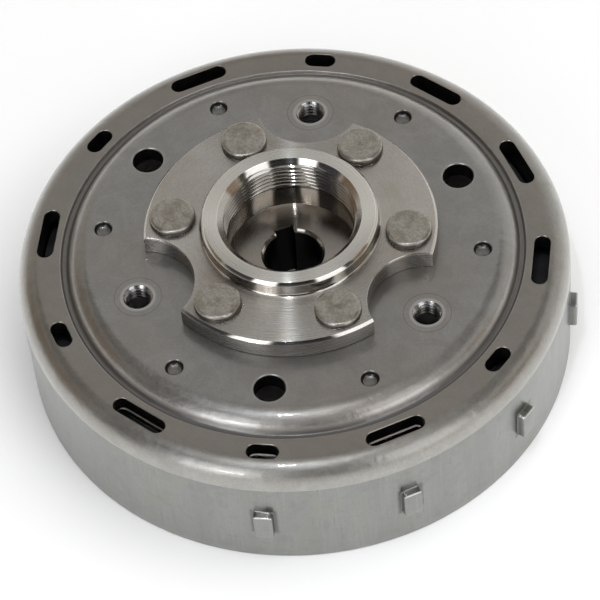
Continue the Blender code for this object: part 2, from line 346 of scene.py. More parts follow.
# ---- materials ---------------------------------------------------------------------
class Graph:
    """Short helpers for building a node tree."""

    def __init__(self, tree):
        self.tree = tree

    def node(self, kind, **settings):
        node = self.tree.nodes.new(kind)
        for key, value in settings.items():
            setattr(node, key, value)
        return node

    def link(self, output, target):
        self.tree.links.new(output, target)

    def feed(self, socket, value):
        if isinstance(value, (int, float)):
            socket.default_value = value
        elif isinstance(value, tuple):
            socket.default_value = (*value, 1.0)
        else:
            self.link(value, socket)

    def math(self, operation, a, b=0.0, c=0.0):
        node = self.node("ShaderNodeMath", operation=operation)
        for socket, value in zip(node.inputs, (a, b, c)):
            self.feed(socket, value)
        return node.outputs[0]

    def vector(self, x, y, z):
        node = self.node("ShaderNodeCombineXYZ")
        for socket, value in zip(node.inputs, (x, y, z)):
            self.feed(socket, value)
        return node.outputs[0]

    def spread(self, value, low, high, to_low=0.0, to_high=1.0, smooth=False):
        """Map one range of a value to another, held at its ends."""
        node = self.node("ShaderNodeMapRange")
        if smooth:
            node.interpolation_type = "SMOOTHSTEP"
        for name, number in (("Value", value), ("From Min", low), ("From Max", high),
                             ("To Min", to_low), ("To Max", to_high)):
            self.feed(node.inputs[name], number)
        return node.outputs["Result"]

    def mix(self, factor, a, b):
        node = self.node("ShaderNodeMix", data_type="RGBA")
        self.feed(node.inputs[0], factor)
        self.feed(node.inputs[6], a)
        self.feed(node.inputs[7], b)
        return node.outputs[2]

    def between(self, value, low, high, soft):
        """1 between two values and 0 outside them, with soft ends."""
        away = self.math("ABSOLUTE", self.math("SUBTRACT", value, (low + high) / 2.0))
        half = (high - low) / 2.0
        return self.spread(away, half - soft / 2.0, half + soft / 2.0, 1.0, 0.0, smooth=True)


class Finish(Graph):
    """A Principled material whose nodes work in millimetres on the object."""

    def __init__(self, name, metallic=1.0, **sockets):
        self.mat = bpy.data.materials.new(name)
        self.mat.use_nodes = True
        super().__init__(self.mat.node_tree)
        self.shader = self.tree.nodes["Principled BSDF"]
        self.shader.inputs["Metallic"].default_value = metallic
        for key, value in sockets.items():
            self.shader.inputs[key.replace("_", " ")].default_value = value
        coords = self.node("ShaderNodeTexCoord")
        scaled = self.node("ShaderNodeVectorMath", operation="SCALE")
        self.link(coords.outputs["Object"], scaled.inputs[0])
        scaled.inputs["Scale"].default_value = 1.0 / MM
        self.position = scaled.outputs[0]
        split = self.node("ShaderNodeSeparateXYZ")
        self.link(self.position, split.inputs[0])
        self.x, self.y, self.z = split.outputs
        self.radius = self.math("SQRT", self.math(
            "ADD", self.math("MULTIPLY", self.x, self.x), self.math("MULTIPLY", self.y, self.y)))
        self.angle = self.math("ARCTAN2", self.y, self.x)

    def noise(self, vector, scale, detail=4.0, roughness=0.5, distortion=0.0):
        node = self.node("ShaderNodeTexNoise")
        self.link(vector, node.inputs["Vector"])
        node.inputs["Scale"].default_value = scale
        node.inputs["Detail"].default_value = detail
        node.inputs["Roughness"].default_value = roughness
        node.inputs["Distortion"].default_value = distortion
        return node.outputs["Fac"]

    def bump(self, height, strength, distance, normal=None):
        node = self.node("ShaderNodeBump")
        node.inputs["Strength"].default_value = strength
        node.inputs["Distance"].default_value = distance * MM
        self.link(height, node.inputs["Height"])
        if normal is not None:
            self.link(normal, node.inputs["Normal"])
        return node.outputs["Normal"]

    def near_holes(self, pcd_r, count, first):
        """Distance to the nearest of some holes spaced evenly on a pitch circle."""
        step = 2.0 * math.pi / count
        turned = self.math("SUBTRACT", self.angle, math.radians(first) - step / 2.0)
        local = self.math("SUBTRACT", self.math("FLOORED_MODULO", turned, step), step / 2.0)
        across = self.math("SUBTRACT", self.math("MULTIPLY", self.radius,
                                                 self.math("COSINE", local)), pcd_r)
        along = self.math("MULTIPLY", self.radius, self.math("SINE", local))
        return self.math("SQRT", self.math("ADD", self.math("MULTIPLY", across, across),
                                           self.math("MULTIPLY", along, along)))

    def grain(self, around, up):
        """Noise position stretched round the axis and along it."""
        turn = self.math("MULTIPLY", self.angle, CUP_R)
        return self.vector(self.math("MULTIPLY", turn, around), 0.0,
                           self.math("MULTIPLY", self.z, up))

    def done(self, colour, roughness, normal):
        self.feed(self.shader.inputs["Base Color"], colour)
        self.feed(self.shader.inputs["Roughness"], roughness)
        self.feed(self.shader.inputs["Normal"], normal)
        return self.mat


def drawn_steel():
    """Satin deep-drawn sheet under a film of oil, with warm and cool patches and pores.

    The groove at the disc's foot is painted dark as shade and its two edges carry painted
    highlights. The rolled outer edge is painted lighter as a sheen. Rings mark the pressing round
    each tapped hole, and the dimples are painted dark inside as shade.
    """
    f = Finish("drawn_steel", Coat_Weight=0.8, Coat_Roughness=0.06)
    cloud = f.noise(f.position, 0.035, 3.0, 0.55, 0.4)
    patch = f.noise(f.position, 0.16, 4.0, 0.6, 0.6)
    warm = f.spread(f.noise(f.position, 0.022, 2.0, 0.5), 0.42, 0.66)
    colour = f.mix(f.spread(cloud, 0.3, 0.7), (0.405, 0.40, 0.39), (0.475, 0.47, 0.46))
    colour = f.mix(f.math("MULTIPLY", warm, 0.6), colour, (0.42, 0.365, 0.32))
    annulus = f.between(f.radius, DISC_FOOT_R - 2.8, CUP_R - 4.7, 3.0)
    colour = f.mix(f.math("MULTIPLY", annulus, 0.75), colour, (0.36, 0.32, 0.275))
    # painted sheen: the rolled outer edge made lighter, as it would look reflecting the overhead light
    roll = f.spread(f.radius, CUP_R - 7.2, CUP_R - 1.2, smooth=True)
    colour = f.mix(f.math("MULTIPLY", roll, 0.7), colour, (0.44, 0.435, 0.40))
    # painted shade: a dark band on the steep wall and groove at the disc's foot
    foot_shade = f.between(f.radius, DISC_FOOT_R - 2.6, DISC_FOOT_R - 0.6, 0.5)
    colour = f.mix(f.math("MULTIPLY", foot_shade, 0.75), colour, (0.14, 0.137, 0.145))
    # painted highlights: bright lines along the two edges of the groove, also made less rough
    edge_highlights = f.math("ADD", f.between(f.radius, DISC_FOOT_R - 3.5, DISC_FOOT_R - 2.9, 0.3),
                   f.between(f.radius, DISC_FOOT_R - 0.35, DISC_FOOT_R + 0.15, 0.2))
    colour = f.mix(f.math("MULTIPLY", edge_highlights, 0.45), colour, (0.66, 0.655, 0.65))
    colour = f.mix(f.spread(patch, 0.36, 0.62, 0.30, 0.0), colour, (0.27, 0.25, 0.225))
    fine = f.noise(f.position, 1.5, 5.0, 0.7)
    colour = f.mix(f.spread(fine, 0.36, 0.66, 0.35, 0.0), colour, (0.25, 0.24, 0.225))
    specks = f.spread(f.noise(f.position, 0.62, 3.0, 0.6), 0.70, 0.77)
    colour = f.mix(f.math("MULTIPLY", specks, 0.25), colour, (0.16, 0.13, 0.105))

    from_tap = f.near_holes(TAPPED_PCD_R, len(TAPPED_ANGLES), TAPPED_ANGLES[0])
    ring = f.between(from_tap, WITNESS_R - 0.1, WITNESS_R + 0.15, 0.2)
    pressed = f.spread(from_tap, WITNESS_R - 0.2, WITNESS_R, 1.0, 0.0)
    colour = f.mix(f.math("MULTIPLY", ring, 0.5), colour, (0.18, 0.17, 0.165))
    tap_rim = f.between(from_tap, TAP_MAJOR_R, TAP_MAJOR_R + 1.0, 0.5)
    colour = f.mix(f.math("MULTIPLY", tap_rim, 0.6), colour, (0.68, 0.67, 0.65))
    from_pin = f.near_holes(CLEARANCE_PCD_R, len(CLEARANCE_ANGLES), CLEARANCE_ANGLES[0])
    pin_rim = f.between(from_pin, CLEARANCE_R - 0.3, CLEARANCE_R + 0.35, 0.3)
    colour = f.mix(f.math("MULTIPLY", pin_rim, 0.4), colour, (0.60, 0.59, 0.57))

    from_dimple = f.near_holes(DIMPLE_PCD_R, len(SIXTHS), SIXTHS[0])
    # painted shade: the dimples darker inside and nearly black round their walls
    in_dimple = f.spread(from_dimple, DIMPLE_R - 0.4, DIMPLE_R - 0.15, 0.6, 0.0)
    colour = f.mix(in_dimple, colour, (0.20, 0.195, 0.185))
    colour = f.mix(f.between(from_dimple, DIMPLE_R - 0.8, DIMPLE_R - 0.2, 0.3), colour, (0.07, 0.066, 0.062))

    rough = f.spread(cloud, 0.3, 0.7, 0.37, 0.44)
    bends = f.math("MAXIMUM", roll, f.between(f.radius, DISC_FLAT_R + 0.5, DISC_FLAT_R + 6.5, 2.0))
    shiny = f.spread(f.noise(f.position, 2.4, 3.0, 0.6), 0.38, 0.66)
    shiny = f.math("MULTIPLY", shiny, bends)
    rough = f.math("SUBTRACT", rough, f.math("MULTIPLY", pressed, 0.04))
    rough = f.math("ADD", rough, f.spread(fine, 0.3, 0.7, -0.05, 0.05))
    rough = f.math("SUBTRACT", rough, f.math("MULTIPLY", shiny, 0.07))
    rough = f.math("SUBTRACT", rough, f.math("MULTIPLY", edge_highlights, 0.04))
    normal = f.bump(fine, 0.30, 0.06)
    dents = f.noise(f.position, 0.32, 3.0, 0.55)
    normal = f.bump(dents, 0.40, 0.30, normal)
    f.link(f.bump(dents, 0.45, 0.25), f.shader.inputs["Coat Normal"])
    normal = f.bump(ring, 0.35, -0.05, normal)
    return f.done(colour, rough, normal)


def wall_steel():
    """Ground outer wall: fine streaks along the axis, painted shade beside each pad, and painted highlights
    on the arris and the pads' top edges.
    """
    f = Finish("wall_steel")
    streak = f.noise(f.grain(1.5, 0.05), 1.0, 4.0, 0.6)
    broad = f.noise(f.grain(0.16, 0.02), 1.0, 3.0, 0.6)
    cloud = f.noise(f.position, 0.10, 4.0, 0.6)
    fine = f.noise(f.position, 1.3, 4.0, 0.65)
    colour = f.mix(f.spread(streak, 0.3, 0.7), (0.285, 0.29, 0.278), (0.345, 0.35, 0.333))
    colour = f.mix(f.spread(broad, 0.4, 0.7, 0.0, 0.7), colour, (0.265, 0.268, 0.26))
    colour = f.mix(f.spread(broad, 0.72, 0.76, 0.0, 0.4), colour, (0.48, 0.48, 0.475))
    colour = f.mix(f.spread(cloud, 0.46, 0.70, 0.0, 0.7), colour, (0.315, 0.31, 0.265))
    blotch = f.noise(f.position, 0.28, 3.0, 0.6)
    colour = f.mix(f.spread(blotch, 0.52, 0.72, 0.0, 0.45), colour, (0.235, 0.238, 0.23))
    # painted highlight: a bright line where the wall meets the crown's roll
    arris_highlight = f.between(f.z, CROWN_Z - CROWN_CORNER_R - 0.15, CROWN_Z - CROWN_CORNER_R + 0.3, 0.15)
    colour = f.mix(f.math("MULTIPLY", arris_highlight, 0.55), colour, (0.62, 0.62, 0.60))
    colour = f.mix(f.spread(fine, 0.35, 0.6, 0.3, 0.0), colour, (0.25, 0.25, 0.245))
    # painted highlight: a bright line along each pad's top outer edge
    pad_edge_highlight = f.math("MULTIPLY", f.between(f.z, PAD_TOP_Z - 0.4, PAD_TOP_Z + 0.1, 0.15),
                      f.spread(f.radius, CUP_R + PAD_PROUD - 0.5, CUP_R + PAD_PROUD - 0.3))
    colour = f.mix(f.math("MULTIPLY", pad_edge_highlight, 0.8), colour, (0.80, 0.80, 0.79))
    # painted shade: darkening beside and round each pad, left off where there are no pads
    step = math.radians(PAD_STEP)
    turned_on = f.math("FLOORED_MODULO", f.math("ADD", f.angle, step / 2.0), step)
    beside = f.math("MULTIPLY", f.math("ABSOLUTE", f.math("SUBTRACT", turned_on, step / 2.0)), CUP_R)
    flush = f.spread(f.radius, CUP_R + 1.0, CUP_R + 1.8, 1.0, 0.0)
    stain_and_shade = f.math("MULTIPLY", f.between(beside, PAD_W / 2.0 - 0.35, PAD_W / 2.0 + 1.05, 1.0), flush)
    stain_and_shade = f.math("MULTIPLY", stain_and_shade, f.between(f.z, PAD_TOP_Z - PAD_H - 0.6, PAD_TOP_Z + 0.8, 1.2))
    full_turn = f.math("FLOORED_MODULO", f.angle, 2.0 * math.pi)
    unpadded = f.between(full_turn, math.radians(165.0), math.radians(255.0), 0.02)
    stain_and_shade = f.math("MULTIPLY", stain_and_shade, f.spread(unpadded, 0.0, 1.0, 0.65, 0.0))
    colour = f.mix(stain_and_shade, colour, (0.10, 0.10, 0.097))
    rough = f.spread(streak, 0.3, 0.7, 0.26, 0.36)
    normal = f.bump(streak, 0.18, 0.05)
    normal = f.bump(fine, 0.10, 0.04, normal)
    return f.done(colour, rough, normal)


def shaded_punched_steel():
    """Sheared and drilled faces inside the cup's openings, and the cup's inside, painted near black as
    shade.
    """
    f = Finish("shaded_punched_steel")
    cloud = f.noise(f.position, 0.4, 3.0, 0.6)
    # painted shade: a near-black colour for faces that sit in shade
    colour = f.mix(cloud, (0.035, 0.034, 0.033), (0.085, 0.081, 0.076))
    normal = f.bump(f.noise(f.grain(1.2, 0.15), 1.0, 3.0, 0.5), 0.25, 0.08)
    return f.done(colour, f.spread(cloud, 0.3, 0.7, 0.36, 0.5), normal)


def thread_steel():
    """The tapped holes' bright cut threads, with painted shade that deepens down the hole."""
    f = Finish("thread_steel")
    fine = f.noise(f.position, 1.5, 2.0, 0.5)
    colour = f.mix(fine, (0.40, 0.39, 0.39), (0.55, 0.54, 0.54))
    # painted shade: the thread darker towards the bottom of the hole
    depth_shade = f.spread(f.z, DISC_Z - 2.6, DISC_Z - 0.6, 1.0, 0.0)
    colour = f.mix(depth_shade, colour, (0.10, 0.095, 0.09))
    normal = f.bump(fine, 0.08, 0.03)
    return f.done(colour, f.spread(fine, 0.3, 0.7, 0.18, 0.28), normal)


def turned(name, rough_low, rough_high):
    """Lathe-turned steel: grooves round the axis stretch every highlight across them.

    Masks paint a highlight on the boss's top, and paint shade on the thread, the recess floor,
    the flange's sides and the taper bore.
    """
    f = Finish(name, Anisotropic=1.0, Anisotropic_Rotation=0.25)
    tangent = f.node("ShaderNodeTangent", direction_type="RADIAL", axis="Z")
    f.link(tangent.outputs[0], f.shader.inputs["Tangent"])
    depth = f.math("ADD", f.radius, f.math("MULTIPLY", f.z, 1.31))
    rings = f.noise(f.vector(depth, 0.0, 0.0), 1.3, 2.0, 0.5)
    cloud = f.noise(f.position, 0.06, 2.0, 0.5)
    # brown tarnish patches on the turned faces
    stain_and_shade = f.spread(f.noise(f.position, 0.11, 3.0, 0.55), 0.5, 0.72)
    fine = f.noise(f.position, 1.4, 4.0, 0.6)
    colour = f.mix(f.spread(cloud, 0.35, 0.65), (0.56, 0.53, 0.485), (0.65, 0.625, 0.59))
    colour = f.mix(f.math("MULTIPLY", stain_and_shade, 0.45), colour, (0.50, 0.42, 0.33))
    colour = f.mix(f.spread(rings, 0.35, 0.65, 0.07, 0.0), colour, (0.34, 0.325, 0.30))
    colour = f.mix(f.spread(fine, 0.35, 0.6, 0.2, 0.0), colour, (0.33, 0.32, 0.30))
    # painted highlight: the boss's top face made lighter
    boss_top = f.spread(f.z, BOSS_Z - 0.2, BOSS_Z - 0.05)
    colour = f.mix(f.math("MULTIPLY", boss_top, 0.85), colour, (0.90, 0.88, 0.82))
    # painted shade: the puller thread, the recess floor and the flange's sides made darker
    thread_shade = f.math("MULTIPLY", f.between(f.z, THREAD_LOW_Z, BOSS_Z - 1.6, 0.4),
                      f.spread(f.radius, PULLER_MAJOR_R + 0.1, PULLER_MAJOR_R + 0.3, 1.0, 0.0))
    colour = f.mix(f.math("MULTIPLY", thread_shade, 0.3), colour, (0.16, 0.15, 0.14))
    floor = f.math("MULTIPLY", f.between(f.z, RECESS_FLOOR_Z - 0.2, RECESS_FLOOR_Z + 0.3, 0.1),
                   f.spread(f.radius, RECESS_R, RECESS_R + 0.5, 1.0, 0.0))
    colour = f.mix(f.math("MULTIPLY", floor, 0.65), colour, (0.17, 0.145, 0.12))
    side_shade = f.math("MULTIPLY", f.between(f.z, DISC_Z, FLANGE_Z - 0.7, 0.1),
                   f.spread(f.radius, BOSS_R + 1.0, BOSS_R + 2.0))
    colour = f.mix(f.math("MULTIPLY", side_shade, 0.75), colour, (0.16, 0.155, 0.147))
    # painted shade: the taper bore and keyway made nearly black, and rougher
    bore_shade = f.math("MULTIPLY", f.spread(f.radius, BORE_SHADE_R - 0.1, BORE_SHADE_R, 1.0, 0.0),
                   f.between(f.z, NOSE_Z + 0.6, RECESS_FLOOR_Z - 0.8, 0.1))
    colour = f.mix(bore_shade, colour, (0.018, 0.016, 0.015))
    rough = f.spread(rings, 0.3, 0.7, rough_low, rough_high)
    rough = f.math("ADD", rough, f.math("MULTIPLY", bore_shade, 0.3))
    return f.done(colour, rough, f.bump(rings, 0.015, 0.03))


def turned_steel():
    return turned("turned_steel", 0.25, 0.29)


def bored_steel():
    """The hub's bore, thread and chamfers, turned finer than its faces."""
    return turned("bored_steel", 0.11, 0.16)


def rivet_steel():
    """Struck rivet heads: mottled, a little tarnished, with a soft centre mark."""
    f = Finish("rivet_steel")
    blot = f.noise(f.position, 0.27, 4.0, 0.62, 0.5)
    fine = f.noise(f.position, 1.4, 4.0, 0.65)
    colour = f.mix(f.spread(blot, 0.38, 0.60), (0.44, 0.395, 0.33), (0.65, 0.625, 0.57))
    colour = f.mix(f.spread(blot, 0.55, 0.72, 0.0, 0.6), colour, (0.40, 0.335, 0.27))
    colour = f.mix(f.spread(fine, 0.38, 0.62, 0.35, 0.0), colour, (0.17, 0.16, 0.15))
    from_rivet = f.near_holes(RIVET_PCD_R, len(SIXTHS), SIXTHS[0])
    # painted shade: the head's side skirt darker, most towards its foot
    skirt_shade = f.spread(from_rivet, RIVET_R - 0.45, RIVET_R - 0.2)
    colour = f.mix(f.math("MULTIPLY", skirt_shade, f.spread(f.z, RIVET_TOP - 1.0, RIVET_TOP - 0.3, 0.9, 0.3)),
                   colour, (0.11, 0.10, 0.095))
    colour = f.mix(f.spread(from_rivet, 0.4, 1.3, 0.35, 0.0), colour, (0.22, 0.20, 0.17))
    rings = f.noise(f.vector(from_rivet, 0.0, 0.0), 0.9, 2.0, 0.5)
    rough = f.spread(blot, 0.3, 0.7, 0.28, 0.42)
    normal = f.bump(rings, 0.40, 0.20)
    normal = f.bump(blot, 0.55, 0.45, normal)
    normal = f.bump(fine, 0.18, 0.05, normal)
    return f.done(colour, rough, normal)


def magnet_ferrite():
    f = Finish("magnet_ferrite", metallic=0.0)
    fine = f.noise(f.position, 1.2, 5.0, 0.7)
    chips = f.spread(f.noise(f.position, 0.35, 4.0, 0.6), 0.62, 0.7)
    colour = f.mix(fine, (0.035, 0.035, 0.038), (0.075, 0.074, 0.075))
    colour = f.mix(f.math("MULTIPLY", chips, 0.5), colour, (0.12, 0.115, 0.11))
    normal = f.bump(fine, 0.3, 0.08)
    return f.done(colour, f.spread(fine, 0.3, 0.7, 0.42, 0.6), normal)


def cage_nylon():
    f = Finish("cage_nylon", metallic=0.0)
    fine = f.noise(f.position, 2.5, 3.0, 0.6)
    flow = f.noise(f.grain(0.08, 0.6), 1.0, 3.0, 0.5)
    colour = f.mix(f.spread(flow, 0.35, 0.7), (0.012, 0.012, 0.013), (0.028, 0.028, 0.03))
    normal = f.bump(fine, 0.2, 0.05)
    return f.done(colour, f.spread(fine, 0.3, 0.7, 0.38, 0.55), normal)


def sleeve_stainless():
    f = Finish("sleeve_stainless")
    around = f.noise(f.grain(0.05, 2.5), 1.0, 4.0, 0.6)
    cloud = f.noise(f.position, 0.07, 3.0, 0.5)
    colour = f.mix(f.spread(around, 0.3, 0.7), (0.50, 0.50, 0.49), (0.64, 0.635, 0.62))
    colour = f.mix(f.spread(cloud, 0.5, 0.8, 0.0, 0.3), colour, (0.50, 0.46, 0.41))
    normal = f.bump(around, 0.08, 0.04)
    return f.done(colour, f.spread(around, 0.3, 0.7, 0.24, 0.36), normal)


# ---- the cup ---------------------------------------------------------------------------
def cup_profile():
    inner_r = CUP_R - WALL_T
    under_crown = CROWN_Z - SHELL_T
    under_disc = DISC_Z - SHELL_T
    roll_end = math.radians(58.0)
    foot_in = (DISC_FLAT_R + DISC_ROLL_R * math.sin(roll_end),
               DISC_Z - DISC_ROLL_R * (1.0 - math.cos(roll_end)))
    groove_z = CROWN_Z - 0.9
    path = [(PILOT_R, DISC_Z), (PILOT_R + 0.5, DISC_Z)]
    path += [(r, DISC_Z) for r in (30.0, 38.0, 46.0, 52.0)]
    path += arc(DISC_FLAT_R, DISC_Z - DISC_ROLL_R, DISC_ROLL_R, 90.0, 32.0, 14)
    path += rounded([(*foot_in, 0, 1), (DISC_FOOT_R - 1.8, groove_z, 0.8, 6),
                     (DISC_FOOT_R - 0.6, groove_z, 0.3, 3), (DISC_FOOT_R - 0.1, CROWN_Z, 0.3, 5),
                     (CUP_R - CROWN_CORNER_R, CROWN_Z, 0, 1)], closed=False)[1:-1]
    path += arc(CUP_R - CROWN_CORNER_R, CROWN_Z - CROWN_CORNER_R, CROWN_CORNER_R, 90.0, 0.0, 20)
    path += [(CUP_R, z) for z in (26.0, PAD_TOP_Z + 1.0, 16.0, PAD_TOP_Z - PAD_H - 1.0, 6.0)]
    path += rounded([(CUP_R, 3.0, 0, 1), (CUP_R, 0.0, 0.5, 4), (inner_r, 0.0, 0.5, 4),
                     (inner_r, under_crown, 2.5, 6), (DISC_FOOT_R - 4.0, under_crown, 1.5, 4),
                     (DISC_FOOT_R - 7.4, under_disc, 2.5, 5), (PILOT_R, under_disc, 0.4, 3),
                     (PILOT_R, DISC_Z - 0.5, 0, 1)], closed=False)
    return path


def threaded_hole(minor, major, pitch, z_low, z_high, mouth_r, surface_z, columns=48):
    """Cutter of a tapped hole whose mouth opens into a 45 degree countersink."""
    rows = int((z_high - z_low) / pitch * 12) + 1
    heights = np.linspace(z_low, z_high, rows)
    angles = polar_angles(columns)
    verts = []
    for z in heights:
        wave = thread_wave(z / pitch - angles / (2.0 * math.pi))
        radius = minor + (major - minor) * wave
        cone = mouth_r + (z - surface_z)
        radius = np.clip(np.maximum(radius, cone), None, mouth_r)
        verts.append(np.stack([radius * np.cos(angles), radius * np.sin(angles),
                               np.full(columns, z)], axis=-1))
    verts = np.concatenate(verts)
    faces = []
    for j in range(rows - 1):
        for i in range(columns):
            k = (i + 1) % columns
            faces.append((j * columns + i, j * columns + k,
                          (j + 1) * columns + k, (j + 1) * columns + i))
    faces.append(tuple(reversed(range(columns))))
    top = (rows - 1) * columns
    faces.append(tuple(range(top, top + columns)))
    return verts, faces


def build_cup(finishes):
    cup = new_object("cup", lathe("cup", cup_profile()))

    pads = Body()
    radial = Matrix(((0, 0, 1, 0), (1, 0, 0, 0), (0, 1, 0, 0), (0, 0, 0, 1)))
    edge = 0.28
    levels = [(CUP_R - 1.5, 0.30), (CUP_R - 0.05, 0.30), (CUP_R + 0.12, 0.10), (CUP_R + 0.35, 0.0)]
    levels += [(CUP_R + PAD_PROUD - edge * (1.0 - math.sin(math.radians(a))),
                -edge * (1.0 - math.cos(math.radians(a)))) for a in (0, 30, 60, 88)]
    verts, faces = loft(lambda offset: box_outline(PAD_W, PAD_H, 0.75, offset), levels)
    for angle in PAD_ANGLES:
        place = out_at(angle) @ Matrix.Translation((0, 0, (PAD_TOP_Z - PAD_H / 2.0) * MM)) @ radial
        pads.add(verts, faces, place)
    boolean(cup, pads.mesh("pads"), "UNION")

    cuts = Body()
    crown_under, disc_under = CROWN_Z - SHELL_T, DISC_Z - SHELL_T
    lip_r = 0.35
    tight = -lip_r * (1.0 - math.cos(math.radians(LIP_SWEEP)))
    burr_top = crown_under + 0.45
    slot_levels = [(crown_under - 4.0, tight), (crown_under + 0.2, tight), (burr_top, tight)]
    slot_levels += lip(CROWN_Z, lip_r) + [(CROWN_Z + 2.0, 1.2)]
    for angles, length in ((LONG_SLOTS, SLOT_LONG), (SHORT_SLOTS, SLOT_SHORT)):
        for angle in angles:
            burr = SLOT_BURR if angle in BURRED_SLOTS else 0.0
            verts, faces = loft(lambda offset: capsule_outline(length, SLOT_W, offset - SLOT_SHY),
                                slot_levels, (burr_top - 0.01, burr))
            cuts.add(verts, faces, out_at(angle, SLOT_PCD_R))
    hole_levels = [(disc_under - 2.0, tight)] + lip(DISC_Z, lip_r) + [(DISC_Z + 2.0, 1.2)]
    verts, faces = loft(lambda offset: circle_outline(CLEARANCE_R, offset, 64), hole_levels)
    for angle in CLEARANCE_ANGLES:
        cuts.add(verts, faces, out_at(angle, CLEARANCE_PCD_R))
    verts, faces = threaded_hole(TAP_MINOR_R, TAP_MAJOR_R, TAP_PITCH, disc_under - 1.0,
                                 DISC_Z + 1.0, TAP_MOUTH_R, DISC_Z)
    for angle in TAPPED_ANGLES:
        cuts.add(verts, faces, out_at(angle, TAPPED_PCD_R))
    dimple_levels = [(DISC_Z - depth, radius - DIMPLE_R) for depth, radius in DIMPLE_BOWL]
    dimple_levels += lip(DISC_Z, 0.3) + [(DISC_Z + 2.0, 1.5)]
    verts, faces = loft(lambda offset: circle_outline(DIMPLE_R, offset, 40), dimple_levels)
    for angle in SIXTHS:
        cuts.add(verts, faces, out_at(angle, DIMPLE_PCD_R))
    boolean(cup, cuts.mesh("cup_cuts"), "DIFFERENCE")

    mesh = cup.data
    mesh.materials.clear()
    for finish in ("drawn_steel", "wall_steel", "shaded_punched_steel", "thread_steel"):
        mesh.materials.append(finishes[finish])
    wall_top = CROWN_Z - CROWN_CORNER_R + 0.2
    for face in mesh.polygons:
        centre = face.center / MM
        radius = math.hypot(centre.x, centre.y)
        taps = min((centre.xy - (out_at(a, TAPPED_PCD_R).translation / MM).xy).length
                   for a in TAPPED_ANGLES)
        inside = radius < CUP_R - WALL_T + 0.1 and centre.z < CROWN_Z - SHELL_T + 0.1
        inside = inside or (radius < DISC_FLAT_R + 6.0 and centre.z < DISC_Z - SHELL_T + 0.3)
        upright = abs(face.normal.z) < 0.3
        if taps < TAP_MOUTH_R + 0.02 and centre.z < DISC_Z - 0.02:
            face.material_index = 3
        elif radius > CUP_R - 0.1 and centre.z < wall_top:
            face.material_index = 1
        elif inside or (upright and radius < CUP_R - 1.0 and centre.z < DISC_Z - 0.3
                        and not (DISC_FOOT_R - 3.8 < radius < DISC_FOOT_R + 0.7)):
            face.material_index = 2
        else:
            face.material_index = 0
    shade(cup, 38.0)
    return cup


# ---- the hub ---------------------------------------------------------------------------
def hub_profile():
    flange_under = DISC_Z + 0.14
    taper_top = RECESS_FLOOR_Z - 1.1
    taper_end = TAPER_R + (taper_top - NOSE_Z) * TAPER_RATIO
    mouth = RECESS_MOUTH_R - RECESS_R
    thread_top = BOSS_Z - mouth * 0.62
    path = rounded([(RECESS_MOUTH_R, BOSS_Z, 0, 1), (BOSS_R - 0.8, BOSS_Z, 0.12, 3),
                    (BOSS_R, BOSS_Z - 0.9, 0.12, 3), (BOSS_R, FLANGE_Z, 1.1, 7),
                    (FLANGE_R - 0.75, FLANGE_Z, 0.1, 3), (FLANGE_R, FLANGE_Z - 0.75, 0.1, 3),
                    (FLANGE_R, flange_under, 0.2, 3), (SPIGOT_R, flange_under, 0, 1),
                    (SPIGOT_R, SPIGOT_Z, 0.7, 4), (NOSE_R, SPIGOT_Z, 1.2, 6),
                    (NOSE_R, NOSE_Z, 0.7, 4), (taper_end, NOSE_Z, 0.5, 4),
                    (TAPER_R, taper_top, 0.1, 2), (TAPER_R + 1.1, RECESS_FLOOR_Z, 0.1, 3),
                    (RECESS_R, RECESS_FLOOR_Z, 0.25, 4), (RECESS_R, THREAD_LOW_Z - 1.0, 0, 1)],
                   closed=False)
    rows = int((thread_top - THREAD_LOW_Z) / PULLER_PITCH * 12) + 1
    path += [(RECESS_R, z) for z in np.linspace(THREAD_LOW_Z, thread_top, rows)]
    path += [(RECESS_MOUTH_R - mouth * 0.3, BOSS_Z - mouth * 0.3)]
    return path


def puller_thread(angles, radius, z):
    """Depth of the M38 thread in the recess wall, fading out at both ends."""
    if abs(radius - RECESS_R) > 0.01 or z < THREAD_LOW_Z - 0.01:
        return 0.0
    mouth = RECESS_MOUTH_R - RECESS_R
    fade = min(1.0, (z - THREAD_LOW_Z) / 0.8)
    depth = (PULLER_MAJOR_R - RECESS_R) * fade
    wave = depth * thread_wave(z / PULLER_PITCH - angles / (2.0 * math.pi))
    return np.maximum(wave, z - (BOSS_Z - mouth))


def build_hub(faces_finish, bore_finish):
    hub = new_object("hub_body", lathe("hub_body", hub_profile(), depth=puller_thread))
    cuts = Body()
    edge = lip(FLANGE_Z, 0.22, points=3)
    levels = [(DISC_Z - 1.0, edge[0][1])] + edge + [(FLANGE_Z + 2.0, 1.0)]
    verts, faces = loft(lambda offset: circle_outline(SCALLOP_R, offset, 160), levels)
    for angle in TAPPED_ANGLES:
        cuts.add(verts, faces, out_at(angle, SCALLOP_PCD_R))
    length = RECESS_FLOOR_Z - NOSE_Z + 6.0
    lean = Matrix.Rotation(-math.atan(TAPER_RATIO), 4, "Y")
    place = out_at(KEY_ANGLE, TAPER_R + KEY_DEPTH, RECESS_FLOOR_Z - 1.1) @ lean
    outline = [(-6.0, -KEY_W / 2.0), (0.0, -KEY_W / 2.0), (0.0, KEY_W / 2.0), (-6.0, KEY_W / 2.0)]
    verts, faces = loft(lambda offset: np.array(outline), [(3.0 - length, 0.0), (3.0, 0.0)])
    cuts.add(verts, faces, place)
    boolean(hub, cuts.mesh("hub_cuts"), "DIFFERENCE")
    hub.data.materials.clear()
    hub.data.materials.append(faces_finish)
    hub.data.materials.append(bore_finish)
    for face in hub.data.polygons:
        centre = face.center / MM
        in_bore = math.hypot(centre.x, centre.y) < RECESS_MOUTH_R and centre.z > NOSE_Z + 0.5
        sloped = face.normal.z < 0.9 and centre.z > FLANGE_Z - 1.0
        face.material_index = 1 if in_bore or sloped else 0
    shade(hub, 30.0)
    return hub


